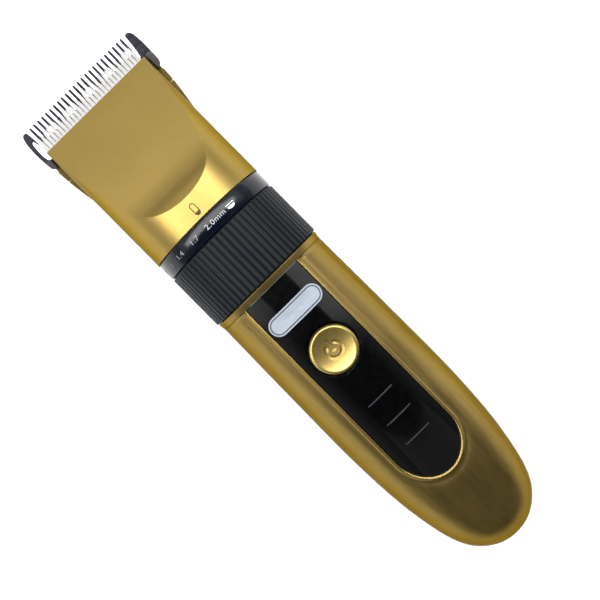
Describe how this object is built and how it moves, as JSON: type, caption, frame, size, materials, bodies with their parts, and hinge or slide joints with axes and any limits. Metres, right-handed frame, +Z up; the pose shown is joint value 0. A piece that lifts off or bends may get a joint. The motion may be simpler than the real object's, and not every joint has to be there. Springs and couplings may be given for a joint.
{
  "type": "beard trimmer",
  "caption": "Cordless beard trimmer with a round tapered handle, a ribbed length ring, a power button and a tilting blade head with a toothed cutter.",
  "frame": {"origin": "centre of the bounding box's base, on the surface that the rear shell's flat pad rests on", "axes": "+Y along the trimmer from the handle's end to the blade tips, +Z up out of the control panel, +X to the right seen from above with the blade pointing away"},
  "size_m": [0.044, 0.1756, 0.0388],
  "materials": {
    "gold_shell": "satin metallic gold paint on ABS",
    "gold_trim": "polished gold plating on ABS",
    "black_gloss": "high gloss",
    "badge_silver": "satin with a dark double outline",
    "ring_black": "fine matte",
    "blade_steel": "dark coated, ground teeth",
    "ceramic": null,
    "brown_plastic": "moulded",
    "bright_steel": "nickel plated",
    "white_plastic": "moulded acetal",
    "black_plastic": "moulded",
    "brass": "turned",
    "board_green": "solder mask",
    "led_amber": "clear tinted",
    "cell_wrap": "shrink sleeve",
    "red_wire": "vinyl insulation",
    "black_wire": "vinyl insulation"
  },
  "bodies": {
    "casing": {"handle_front_shell": "gold_shell", "handle_rear_shell": "gold_shell", "head_front_shell": "gold_shell", "head_rear_shell": "gold_shell", "collar": "gold_trim", "front_panel": "black_gloss", "badge_plate": "badge_silver", "neck_tube": "black_plastic", "hinge_pin": "bright_steel", "detent_leaf": "bright_steel", "case_screw_lower": "bright_steel", "case_screw_left": "bright_steel", "case_screw_right": "bright_steel", "motor_can": "bright_steel", "motor_end_cap": "black_plastic", "motor_bracket": "black_plastic", "circuit_board": "board_green", "charge_led": "led_amber", "tactile_switch": "black_plastic", "battery_cell": "cell_wrap", "battery_cradle": "black_plastic", "battery_tab_negative": "bright_steel", "battery_tab_positive": "bright_steel", "battery_wire_black": "black_wire", "battery_wire_red": "red_wire", "motor_wire_black": "black_wire", "motor_wire_red": "red_wire", "charging_jack": "black_plastic", "jack_pin": "brass"},
    "ring": {"length_ring": "ring_black", "scale_band": "black_gloss", "ring_cam": "white_plastic"},
    "drive_shaft": {"motor_shaft": "bright_steel", "eccentric_cam": "black_plastic", "drive_pin": "bright_steel"},
    "button": {"power_button": "gold_trim", "button_stem": "black_plastic"},
    "adjuster": {"adjust_slider": "white_plastic"},
    "blade_head": {"fixed_blade": "blade_steel", "blade_carrier": "gold_shell", "blade_cheek_left": "brown_plastic", "blade_cheek_right": "brown_plastic", "blade_screw_left": "bright_steel", "blade_screw_right": "bright_steel", "cutter_spring": "bright_steel"},
    "cutter_slide": {"cutter_guide": "bright_steel"},
    "cutter": {"ceramic_cutter": "ceramic", "cutter_follower": "white_plastic"}
  },
  "joints": [
    {"name": "length_ring_turn", "type": "hinge", "parent": "casing", "child": "ring", "pos_m": [0, 0.021, 0.0195], "axis": [0, 1, 0], "range_deg": [0, 80]},
    {"name": "motor_shaft_spin", "type": "hinge", "parent": "casing", "child": "drive_shaft", "pos_m": [0, 0.03, 0.0195], "axis": [0, 1, 0], "continuous": true},
    {"name": "power_button_press", "type": "slide", "parent": "casing", "child": "button", "axis": [0, 0, -1], "range_m": [0, 0.0008], "stiffness_N_per_m": 300},
    {"name": "adjuster_slide", "type": "slide", "parent": "casing", "child": "adjuster", "axis": [0, 1, 0], "range_m": [0, 0.0012]},
    {"name": "blade_head_tilt", "type": "hinge", "parent": "casing", "child": "blade_head", "pos_m": [0, 0.06985, 0.0109], "axis": [-1, 0, 0], "range_deg": [0, 30]},
    {"name": "cutter_length_slide", "type": "slide", "parent": "blade_head", "child": "cutter_slide", "axis": [0, 0.9659, 0.2588], "range_m": [0, 0.0012]},
    {"name": "cutter_stroke", "type": "slide", "parent": "cutter_slide", "child": "cutter", "axis": [1, 0, 0], "range_m": [-0.0006, 0.0014]}
  ],
  "couplings": [
    {"joint": "adjuster_slide", "follows": "length_ring_turn", "m_per_rad": 0.000859},
    {"joint": "cutter_length_slide", "follows": "length_ring_turn", "m_per_rad": 0.000859}
  ]
}
